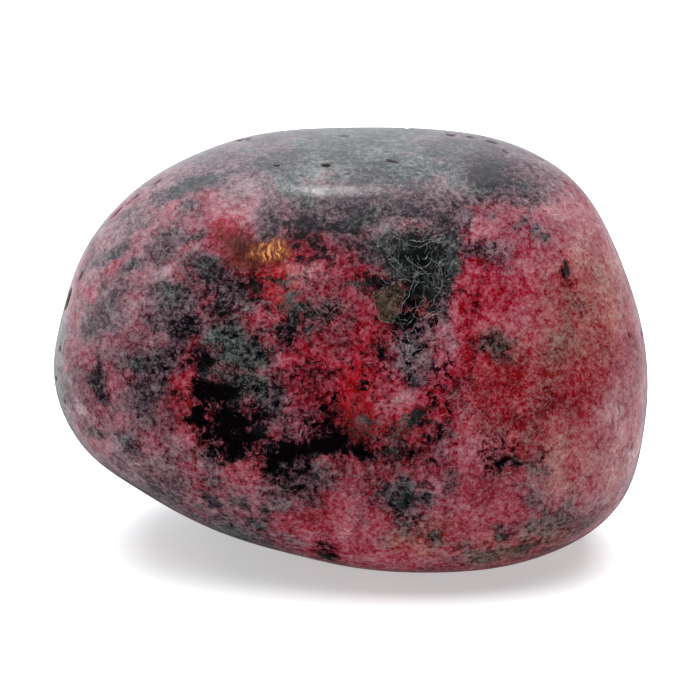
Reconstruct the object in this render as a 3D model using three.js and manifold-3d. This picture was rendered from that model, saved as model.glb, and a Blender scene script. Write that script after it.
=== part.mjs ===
// A polished rhodonite freeform: one natural stone, ground and tumbled smooth, standing on a flat base.
// Units are millimetres. +Z is up, +X runs along the stone's length and -Y is its broad front face.
// The origin lies on the standing surface, under the middle of the stone's box.
import * as THREE from "three";
import { mergeVertices } from "three/addons/utils/BufferGeometryUtils.js";
import Module from "manifold-3d";

const { degToRad, radToDeg } = THREE.MathUtils;

// The stone's heart is the point inside it that every size below is measured from.
const HEART_HEIGHT = 22.4; // above the base
const LEAN = degToRad(20); // the broad face leans back this far from upright

// The girdle is the stone's outline in the leaning plane of its broad face. Each point has a clock angle
// in degrees, anticlockwise from the right end, and a radius from the heart.
const GIRDLE = [
  [0, 33.4], // right end
  [20, 32.3],
  [40, 32.2], // right shoulder
  [55, 31.4],
  [70, 29.8],
  [90, 28.3], // top
  [110, 28.7],
  [130, 29.6], // left shoulder
  [145, 31.2],
  [160, 33.0],
  [172, 33.3],
  [185, 33.6], // left nose
  [200, 31.5],
  [215, 27.7], // undercut below the nose
  [235, 24.9],
  [255, 23.9],
  [270, 24.8],
  [290, 27.3], // foot
  [310, 31.3],
  [330, 34.5], // lower right corner
  [345, 34.0],
];
const FRONT_DEPTH = 19.5; // from the girdle out to the crown of the broad face
const BACK_DEPTH = 25; // from the girdle to where the back would end if it weren't ground flatter
const PILLOW = 2.5; // how full the curve from girdle to crown is: 2 is an ellipse, more is boxier

// Ground facets: where each one faces, as azimuth from the front towards the right end and rise above
// level, and how far from the heart it lies.
const FACETS = [
  { name: "top", azimuth: 0, rise: 88, distance: 23.3 },
  { name: "broad face", azimuth: 0, rise: 22, distance: 19 },
  { name: "back", azimuth: 178, rise: 6, distance: 19 },
  { name: "back right", azimuth: 128, rise: 4, distance: 28.5 },
  { name: "back left", azimuth: 232, rise: 10, distance: 27 },
  { name: "underside", azimuth: 0, rise: -90, distance: 24.6 },
];
const BLEND = 9; // how tightly facets and girdle are rounded into each other: more is a sharper edge

// Worn hollows. A place on the stone is a clock angle round the girdle and a rise out of its plane
// towards the front, both seen from the heart.
const HOLLOWS = [
  { name: "above the nose", clock: 152, rise: 44, depth: 0.5, reach: 7 },
  { name: "right shoulder", clock: 30, rise: 40, depth: 0.45, reach: 8 },
  { name: "back middle", clock: 80, rise: -62, depth: 0.7, reach: 8 },
  { name: "back right", clock: -20, rise: -48, depth: 0.6, reach: 7 },
  { name: "back left", clock: 200, rise: -40, depth: 0.6, reach: 8 },
];

// Pits where grains pulled out of the polish. The turn is that of the long axis, from the girdle's own across.
const PITS = [
  { name: "nose chip", clock: 170, rise: 15, length: 2.8, width: 0.8, turn: 72 },
  { name: "nose crack", clock: 165, rise: 19, length: 1.4, width: 0.5, turn: 62 },
  { name: "shoulder seam, low end", clock: 149, rise: 18, length: 2, width: 0.6, turn: 45 },
  { name: "shoulder seam, middle", clock: 144, rise: 17, length: 1.4, width: 0.6, turn: 40 },
  { name: "shoulder seam, high end", clock: 139, rise: 18, length: 1.8, width: 0.6, turn: 38 },
  { name: "left of the crest", clock: 112, rise: 27, length: 0.9, width: 0.6, turn: 10 },
  { name: "crest", clock: 97, rise: 29, length: 1.1, width: 0.8, turn: 0 },
  { name: "right of the crest", clock: 77, rise: 26, length: 1.6, width: 0.6, turn: -8 },
  { name: "top rim, left", clock: 117, rise: 2, length: 1.6, width: 0.6, turn: 8 },
  { name: "top rim, right", clock: 56, rise: 5, length: 1.4, width: 0.6, turn: -15 },
  { name: "right shoulder", clock: 37, rise: 16, length: 1, width: 0.6, turn: -40 },
  { name: "right slot", clock: 21, rise: 30, length: 2, width: 0.6, turn: 105 },
  { name: "right flank", clock: 3, rise: 19, length: 1.2, width: 0.6, turn: 80 },
  { name: "right flank, low", clock: -19, rise: 15, length: 1.6, width: 0.6, turn: 75 },
  { name: "back, high", clock: 125, rise: -40, length: 1.8, width: 0.7, turn: 20 },
  { name: "back, middle", clock: 30, rise: -55, length: 1.5, width: 0.7, turn: -30 },
  { name: "back, low", clock: -140, rise: -35, length: 2.2, width: 0.8, turn: -50 },
];
const PIT_DEPTH = 0.45; // as a share of the pit's width
const PIT_STEPS = 2; // pieces that each edge of a pit's icosahedron is cut into

const STONE_STEPS = 16; // pieces that each edge of the stone's starting icosahedron is cut into
const SAME_POINT = 1e-4;
const SLOPE_STEP = 0.05; // how far apart the surface is sampled for its slope

// Axes of the leaning girdle plane: across it, up it and out of it towards the front.
const ACROSS = new THREE.Vector3(1, 0, 0);
const UP = new THREE.Vector3(0, Math.sin(LEAN), Math.cos(LEAN));
const OUT = new THREE.Vector3(0, -Math.cos(LEAN), Math.sin(LEAN));

// The girdle's radius at a clock angle, on a smooth closed curve through its points.
const turns = [-360, 0, 360];
const girdleCurve = new THREE.CubicInterpolant(
  turns.flatMap((turn) => GIRDLE.map(([clock]) => clock + turn)),
  turns.flatMap(() => GIRDLE.map(([, radius]) => radius)),
  1,
);
const girdleRadius = (clock) => girdleCurve.evaluate(clock)[0];

// A level direction's azimuth and rise, as a vector.
function facing(azimuth, rise) {
  const a = degToRad(azimuth);
  const r = degToRad(rise);
  return new THREE.Vector3(Math.sin(a) * Math.cos(r), -Math.cos(a) * Math.cos(r), Math.sin(r));
}
const facetNormals = FACETS.map(({ azimuth, rise }) => facing(azimuth, rise));

// The direction from the heart to a place on the stone.
function towards(clock, rise) {
  const around = ACROSS.clone().applyAxisAngle(OUT, degToRad(clock));
  return around.multiplyScalar(Math.cos(degToRad(rise))).addScaledVector(OUT, Math.sin(degToRad(rise)));
}

// How far out a point is, from 0 at the heart to 1 on the surface: the pillow that the girdle spans,
// met by the ground facets.
function fullness(point) {
  const across = point.dot(ACROSS);
  const up = point.dot(UP);
  const out = point.dot(OUT);
  const radius = girdleRadius(radToDeg(Math.atan2(up, across)));
  const depth = out > 0 ? FRONT_DEPTH : BACK_DEPTH;
  const pillow = (Math.hypot(across, up) / radius) ** PILLOW + (Math.abs(out) / depth) ** PILLOW;
  const cuts = FACETS.map(({ distance }, i) => Math.max(0, point.dot(facetNormals[i])) / distance);
  const sum = cuts.reduce((total, cut) => total + cut ** BLEND, pillow ** (BLEND / PILLOW));
  return sum ** (1 / BLEND);
}

// The smooth surface point in a direction from the heart, before hollows and base.
const onBody = (direction) => direction.clone().divideScalar(fullness(direction));

const hollowCentres = HOLLOWS.map(({ clock, rise }) => onBody(towards(clock, rise)));

// The finished surface point in a direction from the heart: hollows worn in and the base ground flat.
function onStone(direction) {
  const point = onBody(direction);
  const worn = HOLLOWS.reduce((total, { depth, reach }, i) => {
    return total + depth * Math.exp(-point.distanceToSquared(hollowCentres[i]) / reach ** 2);
  }, 0);
  point.setLength(point.length() - worn);
  return point.z < -HEART_HEIGHT ? point.multiplyScalar(-HEART_HEIGHT / point.z) : point;
}

// The way straight out of the body at a surface point.
function normalAt(point) {
  const slope = (axis) => {
    const ahead = fullness(point.clone().addScaledVector(axis, SLOPE_STEP));
    return ahead - fullness(point.clone().addScaledVector(axis, -SLOPE_STEP));
  };
  const normal = new THREE.Vector3();
  [ACROSS, UP, OUT].forEach((axis) => normal.addScaledVector(axis, slope(axis)));
  return normal.normalize();
}

// A ball of even triangles that share their vertices.
function ball(steps) {
  const geometry = new THREE.IcosahedronGeometry(1, steps - 1);
  geometry.deleteAttribute("normal");
  geometry.deleteAttribute("uv");
  return mergeVertices(geometry, SAME_POINT);
}

// The smooth stone: a ball stretched to the stone's proportions and drawn onto its surface.
function stoneBody() {
  const geometry = ball(STONE_STEPS).scale(GIRDLE[0][1], FRONT_DEPTH, HEART_HEIGHT);
  const places = geometry.getAttribute("position");
  const point = new THREE.Vector3();
  for (let i = 0; i < places.count; i++) {
    point.copy(onStone(point.fromBufferAttribute(places, i)));
    places.setXYZ(i, point.x, point.y, point.z);
  }
  return geometry;
}

// A pit's hollow: a lens of its length and width, centred on the surface and lying along it.
function pitLens({ clock, rise, length, width, turn }) {
  const centre = onStone(towards(clock, rise));
  const normal = normalAt(centre);
  const along = towards(turn, 0).projectOnPlane(normal).normalize();
  const aside = normal.clone().cross(along);
  const frame = new THREE.Matrix4().makeBasis(along, aside, normal).setPosition(centre);
  return ball(PIT_STEPS).scale(length / 2, width / 2, width * PIT_DEPTH).applyMatrix4(frame);
}

const wasm = await Module();
wasm.setup();

function solidOf(geometry) {
  const vertProperties = geometry.getAttribute("position").array;
  const triVerts = new Uint32Array(geometry.index.array);
  return new wasm.Manifold(new wasm.Mesh({ numProp: 3, vertProperties, triVerts }));
}

function geometryOf(solid) {
  const { vertProperties, triVerts } = solid.getMesh();
  return new THREE.BufferGeometry()
    .setAttribute("position", new THREE.BufferAttribute(vertProperties, 3))
    .setIndex(new THREE.BufferAttribute(triVerts, 1));
}

const pitted = PITS.reduce((solid, pit) => solid.subtract(solidOf(pitLens(pit))), solidOf(stoneBody()));

const polishedRhodonite = new THREE.MeshStandardMaterial({ color: 0x8a4450, roughness: 0.35, metalness: 0 });
const stone = new THREE.Mesh(geometryOf(pitted), polishedRhodonite);
stone.name = "stone";

// Stand the stone on the surface with the middle of its box over the origin.
const middle = new THREE.Box3().setFromObject(stone).getCenter(new THREE.Vector3());
stone.position.set(-middle.x, -middle.y, HEART_HEIGHT);

const freeform = new THREE.Group();
freeform.add(stone);

export default freeform;
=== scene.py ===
"""A polished rhodonite freeform, standing on a plain pale floor in soft studio light."""
import math

import bmesh
import bpy
import numpy as np
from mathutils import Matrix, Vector, noise
from mathutils.bvhtree import BVHTree


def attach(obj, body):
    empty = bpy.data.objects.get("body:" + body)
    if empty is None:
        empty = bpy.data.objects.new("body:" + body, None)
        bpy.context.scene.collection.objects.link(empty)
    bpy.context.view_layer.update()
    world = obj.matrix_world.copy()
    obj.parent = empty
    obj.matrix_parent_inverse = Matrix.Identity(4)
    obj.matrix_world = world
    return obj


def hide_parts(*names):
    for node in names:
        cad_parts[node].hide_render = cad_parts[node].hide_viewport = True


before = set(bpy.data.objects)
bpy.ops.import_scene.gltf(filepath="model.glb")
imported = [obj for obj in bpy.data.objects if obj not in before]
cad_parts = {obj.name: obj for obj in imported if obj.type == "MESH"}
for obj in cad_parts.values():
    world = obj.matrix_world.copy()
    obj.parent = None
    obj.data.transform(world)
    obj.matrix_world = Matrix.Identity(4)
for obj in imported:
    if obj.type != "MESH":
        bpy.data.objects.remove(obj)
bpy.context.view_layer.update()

# Sizes are in millimetres, and MM turns them into Blender's metres.
MM = 0.001
HEART = np.array((-0.1, 0.6, 22.4))  # the point inside the stone that the camera looks at
LEAN = math.radians(20)  # the camera's height above level, and the lean of the stone's broad face

# The photograph's frame. Places on the seen side are pixels of it, and sizes are millimetres.
PICTURE = 700
PIXELS_PER_MM = 9
LENS = 150
SENSOR = 36
DISTANCE = PICTURE / PIXELS_PER_MM * LENS / SENSOR

ACROSS = np.array((1, 0, 0))
UP = np.array((0, math.sin(LEAN), math.cos(LEAN)))
OUT = np.array((0, -math.cos(LEAN), math.sin(LEAN)))

# The stone's mesh: steps along each edge of the icosahedron that it grows from, and how often it is smoothed.
STONE_STEPS = 70
SMOOTHING = 20
SAME_POINT = 0.1  # corners closer than this share of a step are joined
NUDGE = Vector((0.003, 0.002, 0.001))  # turns a ray that slips between two triangles

# Mineral bodies on the seen side: place x, y in pixels, length, width, how well the body holds together, from
# 0 for scattered specks to 1 or more for a solid one, and its turn in degrees where it isn't level.
# A few dusk bodies along the left rim and under the crest are painted reflection and painted shade.
BLACK = {
    "big hole": (233, 424, 7.2, 6, 1, -20),
    "big hole, upper lobe": (206, 393, 2.8, 2.6, 0.9, 60),
    "big hole, left spike": (198, 415, 2.4, 1, 0.8, 15),
    "big hole, right lobe": (257, 413, 2, 1.6, 0.8),
    "big hole, crown": (221, 388, 3.2, 2.6, 0.9),
    "big hole, low left": (214, 443, 3, 2, 0.5, 20),
    "big hole, foot": (237, 449, 3.2, 1.4, 0.8, 10),
    "over the hole": (205, 362, 2.4, 2, 0.9, 10),
    "over the hole, high": (188, 339, 1.6, 1.4, 0.2),
    "band": (294, 450, 5, 2.8, 1),
    "band, right half": (329, 445, 3.8, 2.8, 1, -5),
    "band, right end": (358, 450, 2.2, 1.7, 0.9, 10),
    "band, left foot": (268, 455, 3.2, 1.8, 0.3, 80),
    "nest": (417, 255, 6, 4.6, 0.9, -30),
    "nest, foot": (417, 292, 4.8, 4.2, 0.8, 60),
    "nest, left tip": (377, 279, 3, 1.4, 0.3, -5),
    "nest, under the crystal": (405, 324, 5.2, 1.2, 0.5, 5),
    "nest, right": (447, 276, 3, 1.8, 0.1, 80),
    "hook, stem": (492, 462, 3, 1.4, 0.3, 65),
    "hook, arm": (505, 449, 2.4, 1.2, 0.3, -12),
    "low right dot": (542, 452, 1.4, 0.8, 0.9, 90),
    "left of the middle": (287, 329, 2.4, 1.8, 0.2, 60),
    "right of the amber": (304, 237, 2.4, 1.6, 0.3, 70),
    "under the amber": (312, 256, 1.6, 1.2, 0.1),
    "bottom edge": (328, 552, 2.6, 1.4, 0.8, -25),
    "low centre": (410, 500, 2.4, 1.6, 0.3, 70),
    "red middle": (419, 411, 1.8, 0.9, 0.3, 20),
    "slot": (567, 268, 2, 0.7, 0.8, 105),
}
DUSK = {
    "streak, upper left": (192, 185, 8.4, 1.8, 0.9, 24),
    "under the streak": (188, 207, 1.8, 1.2, 0.6),
    "left, high": (168, 241, 3.4, 2.8, 0.7, 40),
    "left, high, arm": (188, 238, 2.9, 1.2, 0.8, 8),
    "left flank": (132, 265, 3.8, 1.5, 0.8, 28),
    "left flank, thin": (112, 250, 7.2, 1.1, 0.8, 42),
    "left flank, low": (106, 309, 6.2, 3.4, 0.7, 62),
    "left middle": (167, 300, 6, 4.8, 0.8, 70),
    "left core": (203, 273, 5.6, 3.8, 0.8, -15),
    "left core, low": (236, 294, 5, 4.2, 0.8),
    "over the middle": (318, 314, 5, 5, 0.25),
    "left of the middle": (287, 330, 3, 2.4, 0.3, 60),
    "left of the flakes": (180, 322, 3.6, 3.4, 0.6),
    "mid island": (154, 364, 6, 3.3, 0.95),
    "left island": (98, 383, 4.6, 1.7, 0.95, 95),
    # Painted reflection: with the light stain of the same name, a grey veil painted along the left rim.
    "left rim": (58, 365, 22, 2.6, 0.9, 92),
    "under the mid island": (146, 404, 4.6, 3.6, 0.35, 70),
    "low flank": (127, 441, 2.9, 2.3, 0.75),
    "low flank, small": (94, 430, 1.8, 1.3, 0.6),
    "low left": (158, 486, 4.8, 1.9, 0.7, -22),
    "low rim, left": (150, 492, 9, 1.6, 0.5, -33),
    "low rim, middle": (232, 532, 11, 2.2, 0.5, -24),
    "low left spot": (212, 501, 2.2, 1.6, 0.95, 90),
    "low left spot, right": (236, 502, 1.3, 1.1, 0.6),
    "low middle": (256, 527, 2.9, 2.5, 0.8, -20),
    "low middle, small": (267, 512, 1.3, 1, 0.7),
    "under the band": (302, 482, 6.2, 4.6, 0.2, -12),
    "under the band, left": (268, 466, 4.4, 2.4, 0.7, 80),
    # Painted shade: with the light and dusty stains of the same name, the next three paint a darker, greyer
    # band under the crest.
    "crest": (365, 207, 15, 2.8, 0.8, 2),
    "under the crest": (340, 218, 11, 3, 0.9),
    "crest, dark": (309, 221, 3, 2.4, 0.8),
    "left of the crest": (270, 222, 2.6, 3.4, 0.5),
    "right of the hole": (275, 403, 2.6, 3.6, 0.7),
    "right of the nest": (447, 247, 9, 4.2, 0.8, 75),
    "right of the nest, low": (441, 300, 4.2, 2.6, 0.6, 80),
    "right band": (480, 250, 5, 2, 0.4, -15),
    "around the nest": (388, 250, 6.6, 5, 0.65),
    "under the nest": (412, 357, 5, 3.4, 0.4, 70),
    "under the nest, left": (384, 356, 2.5, 2, 0.6),
    "under the nest, low": (412, 379, 2.6, 2.2, 0.6, 90),
    "middle right": (495, 348, 4.2, 2.8, 0.5, -5),
    "red brown": (461, 393, 3.2, 2.6, 0.45, 30),
    "dark red": (443, 441, 3.2, 2.2, 0.5, 80),
    "low centre": (409, 507, 5, 3.4, 0.7, 85),
    "low centre, left": (383, 491, 2.5, 1.9, 0.7),
    "low centre, right": (448, 485, 3.2, 1.4, 0.6, 90),
    "low centre, foot": (437, 536, 2.1, 1.6, 0.8, 80),
    "low right": (502, 533, 2.3, 1.6, 0.8),
    "low right edge": (560, 522, 8.8, 2.9, 0.4, 14),
    "low rim, right": (505, 551, 12, 2.4, 0.5, 12),
    "under the dot": (538, 473, 3.4, 1.7, 0.5, 90),
    "inner edge": (530, 502, 3.2, 1.8, 0.5, -40),
    "top right": (487, 171, 5.4, 4.4, 1, -30),
    "top right, low": (520, 189, 6.4, 3.2, 1, -22),
    "top, left": (284, 180, 5.4, 4.4, 1.8, 80),
    "top, left band": (305, 150, 10, 2.4, 0.8),
    "top, middle": (393, 172, 9, 4.4, 1.3),
    "top, right": (440, 160, 8, 3, 0.6, -8),
    "right dots, brown": (491, 212, 1.1, 0.9, 0.8),
    "right dots, left": (516, 230, 1.3, 0.9, 0.9, 20),
    "right dots, high": (523, 223, 1.1, 0.8, 0.8, 40),
    "right dots, middle": (535, 232, 1.1, 0.9, 0.7),
    "right dots, right": (548, 239, 1.3, 1, 0.9, -40),
    "top, all": (370, 163, 36, 8, 1.6, -4),
    "top, back": (375, 138, 34, 12, 1.1),
    "sheen": (325, 182, 9, 4.4, 0.8),
}
FLAKES = {
    "middle": (243, 356, 6.8, 5.4, 0.9),
    "middle, low": (252, 386, 4.4, 3, 0.7),
    "high": (220, 338, 5, 3.6, 0.8, 40),
    "nest": (412, 258, 8, 6.6, 0.7, -30),
    "nest, right": (449, 262, 4.4, 2.4, 0.7, 80),
    "over the middle": (324, 306, 3.6, 2.2, 0.1),
    "low centre": (405, 492, 3, 2.6, 0.4),
    "band, bit": (317, 455, 1.2, 0.9, 0.9, 60),
    "band, left": (263, 430, 1.4, 2.2, 0.7),
    "band, right": (395, 440, 2.4, 2.8, 0.1),
}
NEEDLES = {
    "nest": (412, 264, 9.4, 8.2, 1, -40),
    "nest, foot": (417, 305, 5.4, 4.8, 0.9, 60),
    "under the nest": (409, 352, 5, 3.6, 0.6, 70),
    "over the middle": (322, 306, 4.6, 2.8, 0.6),
    "fibres": (543, 396, 4.4, 2.6, 0.6),
    "fibres, low": (532, 429, 3.4, 2, 0.6),
    "fibres, left": (464, 416, 3.6, 3.4, 0.6),
    "fibres, high": (545, 333, 6, 2.2, 0.5, 20),
    "under the hook": (518, 468, 3.4, 2.4, 0.5),
    "salmon": (262, 310, 4, 3, 0.5),
}
AMBER = {
    "crystal": (252, 250, 7.2, 3.2, 0.9, -8),
    "crystal, right": (276, 254, 3.4, 3, 0.9, -10),
}
GOLD = {
    "streaks": (269, 249, 4.4, 3, 1, -20),
}

# Soft stains on the seen side are placed in the same way, but the fifth number is their strength. Below 0 it
# takes away from the stains around. Crimson rock is clear and red, light rock is pale, rock with voids is
# full of dark pores, brown rock is stained by iron, dusty rock is greyed, and calm rock has an even grain.
# Some light and dusty stains along the rims and on the top are painted reflection of the surroundings, and
# some under the crest are painted shade.
CRIMSON = {
    "right field": (478, 292, 8, 4.4, 1.1, 90),
    "right field, right": (516, 290, 5, 4, 0.4),
    "right field, high": (528, 248, 2.6, 2.2, 0.6, 90),
    "middle": (355, 400, 8, 4.4, 2.2, 80),
    "middle, left": (312, 355, 8, 6, 1),
    "middle, high": (360, 318, 7, 3.6, 0.7, 80),
    "middle, right": (385, 340, 3.6, 2.6, 1),
    "under the amber": (272, 280, 6, 5, 1.5),
    "upper left": (222, 232, 3.4, 2.6, 1.4),
    "under the nest": (466, 346, 4, 3, 0.9, 90),
    "right spot": (503, 379, 6, 3.6, 1.1),
    "middle red": (440, 395, 6, 8, 0.8),
    "right middle": (503, 414, 7, 5, 0.3),
    "dark red": (400, 440, 8, 5, 0.8),
    "bottom": (310, 520, 10, 5, 0.5, 10),
    "low right": (488, 522, 9, 5, 0.6, 25),
    "orange left": (184, 402, 7, 3.8, 1.3, 110),
    "salmon, low": (246, 474, 4.4, 4, 0.9),
    "brown right, low": (572, 385, 8, 6.4, 0.8, 80),
    "salmon": (287, 302, 3.6, 3, 1.5),
    "middle, low": (362, 424, 3.8, 3, 1.4),
    "red middle": (408, 421, 3.6, 3, 1.4),
    "left of the crystal": (359, 289, 3.4, 3, 0.7),
}
LIGHT = {
    "upper left": (226, 203, 4.6, 3.4, 0.6, 20),
    "flakes, high": (212, 335, 2.8, 2.4, 2.2),
    "over the flakes": (219, 317, 3.4, 2.4, -1.9),
    "flakes, far": (229, 301, 3, 2.6, 0.9),
    "left of the flakes": (188, 322, 3, 2.6, 1),
    "salmon, high": (274, 328, 3, 2.4, 0.9),
    "right dots": (530, 211, 4, 3, 0.9),
    "left rim, inner": (80, 397, 4, 2.4, 0.8, 90),
    "bottom, right": (372, 524, 5, 3, 0.8),
    "salmon, far left": (187, 457, 4, 2.4, 0.7),
    "left of the nest": (350, 244, 4, 2.6, -1.2),
    "right of the hole": (273, 404, 3, 4, -1),
    "right of the band": (416, 456, 3.4, 2.4, -2.4),
    "low centre, left": (374, 487, 3.4, 3, -1.4),
    "under the hook": (506, 470, 3, 2.4, -0.9),
    "under the mid island, right": (164, 409, 3.4, 3, -0.7),
    "left core, left": (199, 302, 3, 2.4, -0.6),
    "under the flakes": (241, 385, 3, 2.4, -0.8),
    "under the middle's dusk": (311, 333, 3, 2.4, 1),
    "middle, far left": (287, 365, 3.4, 2.6, 1.9),
    "left middle": (147, 305, 3, 3, 1),
    "under the red field": (491, 330, 3.4, 2, 1.7),
    "top right rim": (544, 166, 5, 2.4, 1, -30),
    "nest, right foot": (452, 290, 2.4, 3.4, 0.9),
    "under the nest, right": (438, 351, 3, 2.4, 0.8),
    "brown right, left": (564, 319, 3.4, 3, 0.8),
    "left of the sheen": (259, 188, 3, 3, 0.8),
    "right shoulder, far": (593, 245, 4, 4, 0.8),
    "low right rim": (510, 540, 5, 2, 0.8, 10),
    "band's end": (373, 450, 3, 2.4, -0.8),
    "right, middle": (554, 417, 4.4, 3.4, -1.6),
    "amber's shade": (246, 272, 4, 2.4, -1.5, -10),
    "under the mid island": (155, 391, 4, 3, -0.8),
    "middle's shade": (322, 371, 3.6, 2.4, -0.8),
    "right rim's shade": (607, 373, 4, 4, -0.6),
    "left of the fibres": (485, 413, 3, 3, -1),
    "right of the amber": (307, 269, 3.6, 2.6, 4.2),
    "over the amber": (248, 220, 3.4, 3, 1.4),
    "low middle": (266, 496, 4.4, 2.6, 1.4, -20),
    "right of the crystal": (446, 335, 3.4, 3, 1.2),
    "over the nest": (464, 225, 3.6, 3, 1.8),
    "right band": (494, 247, 3.6, 2.6, 2.1),
    "right foot": (600, 506, 5, 3.4, 1, 30),
    "bottom": (340, 497, 5, 3, 1.1),
    "bottom rim": (325, 543, 5, 2, 0.9, -12),
    "left of the hook": (476, 458, 3, 2.4, 1.5),
    "over the hook": (506, 436, 3.4, 2.4, 1.5),
    # Painted reflection: the next two make the right rim paler.
    "right rim, high": (617, 282, 6, 3, 1.4, 80),
    "right rim, low": (619, 469, 4, 4, 0.7),
    "red middle": (410, 406, 3.8, 3, 2.2),
    "dark red": (434, 432, 3.4, 3, 0.9),
    "over the band's end": (342, 413, 3, 2.4, 0.9),
    "under the hole": (262, 466, 3, 3, 0.7),
    "left of the hole": (195, 422, 3, 3.6, 1.3),
    "over the left streak": (204, 203, 3, 2, -0.8),
    "left of the middle": (313, 386, 3, 3.2, -0.8),
    "over the band, left": (309, 410, 2.4, 2.2, -0.6),
    "right of the nest's foot": (456, 354, 2.6, 2.6, -0.8),
    "band's shade": (300, 465, 3.4, 1.8, -0.8),
    "middle red": (368, 400, 2.6, 2.6, -0.5),
    "over the middle": (309, 303, 2.6, 2, -0.6),
    "under the hole, left": (210, 466, 3.4, 2.4, 1),
    "left of the mid island": (105, 405, 3, 3, 0.9),
    "low flank": (137, 405, 3, 2.4, 0.7),
    "low centre, right": (428, 505, 2.6, 3, 0.8),
    "crest, left": (297, 215, 3, 2.4, 0.8),
    "granular middle": (349, 366, 3, 2.4, 0.8),
    "over the hole, left": (188, 381, 3, 2.4, 1.5),
    "brown middle": (561, 372, 3, 3, 0.7),
    "red spot, left": (469, 379, 3, 2.4, 0.6),
    "rose over the middle, low": (323, 277, 3, 2, 0.8),
    "right spot": (503, 379, 5, 3.4, -0.4),
    "orange left": (184, 402, 5, 3, 0.4, 110),
    # Painted reflection: a pale band painted along the left rim.
    "left rim": (58, 365, 22, 2.6, 1.2, 92),
    "upper left streak": (192, 185, 8.4, 2, -0.7, 24),
    "left spot": (165, 271, 4.4, 2, 2.6, 15),
    "left, between": (130, 318, 4, 4, 0.3),
    "left island": (98, 383, 4.8, 1.8, -1.4, 95),
    "rose over the middle": (330, 268, 7, 4.4, -0.7),
    "left core": (203, 273, 5.6, 3.8, -1.2, -15),
    "left core, low": (236, 294, 4.4, 3.6, -1),
    "upper left crimson": (222, 232, 3.4, 2.8, -1.2),
    "low left": (192, 472, 10, 5.6, -0.5, -20),
    "low left, foot": (244, 507, 8, 4.6, -0.5, -24),
    # Painted reflection: the next two make the low left rim and the right rim paler.
    "low left rim": (122, 464, 9, 3.4, 0.7, -38),
    "right rim": (624, 430, 16, 5, 1.5, 90),
    "right": (566, 450, 9, 8, 0.3),
    "right, high": (548, 258, 6, 4.4, 0.2),
    "right middle": (503, 414, 6, 4.4, -0.6),
    "brown right": (582, 304, 7, 4.8, -0.6, 80),
    "right shoulder": (498, 212, 6, 4.6, -0.4),
    "salmon spot": (386, 230, 3, 2, 1.8),
    "salmon spot, left": (368, 228, 2.4, 1, 0.9, -10),
    "top": (373, 147, 4, 2.6, 0.5),
    "top, left": (324, 172, 5, 2.4, 1.3),
    # Painted reflection: a pale veil painted on the top.
    "painted top veil": (452, 182, 6, 3.4, 2.3),
    "top right": (487, 171, 5.4, 4.4, -2, -30),
    "top right, low": (520, 189, 6.4, 3.2, 0.1, -22),
    "middle, left": (297, 350, 5, 3, -0.2),
    "middle": (355, 408, 5, 3.4, 0.4, 80),
    "middle, right": (385, 388, 6, 6, 0.5),
    "nest, left": (380, 262, 3, 3, 0.7),
    "middle, high": (360, 318, 7, 3.4, 1, 80),
    "under the amber": (272, 282, 5, 3.6, 2.6),
    "under the nest": (415, 356, 4, 3.4, 2),
    "under the band": (297, 482, 5, 3.6, -2.1, -12),
    "over the band": (318, 420, 4.2, 3, -1.2, 30),
    # Painted shade: darker under the crest.
    "under the crest": (345, 218, 12, 3, -0.6),
    "nest, right": (449, 262, 4, 2.4, 0.7, 80),
    "salmon, low": (246, 474, 4, 3.4, 1.4),
    "red's edge": (455, 318, 7, 1.6, 1, 75),
    "salmon, left": (183, 440, 3, 2.6, 0.8),
    "low right, inner": (530, 490, 5, 3.4, 0.8, -30),
    "low centre": (409, 506, 4.4, 3, 0.7, 85),
    "right field": (478, 290, 6, 3.4, 0.9, 90),
    "right field, right": (513, 282, 4.6, 4, 0.8),
    "nest, foot": (432, 306, 3.4, 3, 1.7),
    "nest": (429, 248, 3, 3, 0.5),
    "salmon": (287, 302, 3.2, 2.6, 1),
    "middle, low": (362, 424, 3.4, 3, 0.8),
    "left of the crystal": (362, 287, 3.2, 2.6, 0.8),
    "left of the amber": (211, 261, 3, 2.4, 1),
    "mid island, left": (128, 373, 3, 2.6, -0.9),
    "left core, foot": (190, 344, 3, 2.4, -0.5),
    "sheen": (345, 194, 8, 2.2, -1),
}
VOIDS = {
    "over the middle": (320, 308, 6, 3.6, 1.2),
    "under the amber": (275, 285, 6, 2.4, 1, -10),
    "left core": (234, 300, 6, 5, 0.8),
    "left of the flakes": (203, 352, 3.4, 4.6, 1.2),
    "middle spot": (300, 373, 2.6, 1.8, 1.2),
    "middle, low": (334, 418, 2.4, 2.4, 0.8),
    "middle, all": (355, 385, 13, 10, 0.8),
    "over the band": (318, 424, 6, 3, 1.4),
    "right of the band": (405, 443, 5.4, 4, 1.4),
    "under the band": (294, 470, 6.4, 4.4, 1.3),
    "under the nest": (420, 352, 6, 5, 0.8),
    "right of the middle": (441, 410, 9, 4.4, 1, 90),
    "low centre": (398, 491, 4.4, 4, 0.9),
    "around the hook": (488, 453, 4, 4, 0.8),
    "middle right": (490, 347, 5, 2.6, 0.8),
    "around the hole": (215, 420, 9, 9, 0.6),
    "around the nest": (405, 270, 13, 11, 0.5),
    "left": (165, 325, 10, 12, 0.35),
}
BROWN = {
    "right": (580, 330, 18, 9, 1, 80),
    "right spot": (503, 379, 7, 4.4, 1),
    "right middle": (510, 414, 9, 6, 0.7),
    "right, low": (560, 470, 9, 8, 0.5),
    "middle right": (495, 347, 5, 3.6, 0.8),
    "under the amber": (262, 272, 7, 3.6, 1, -10),
    "foot": (418, 535, 7, 3.4, 1.2, 10),
    "low right rim": (520, 545, 14, 4, 0.8, 14),
    "nest, foot": (415, 306, 4, 3, 0.8),
}
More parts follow.
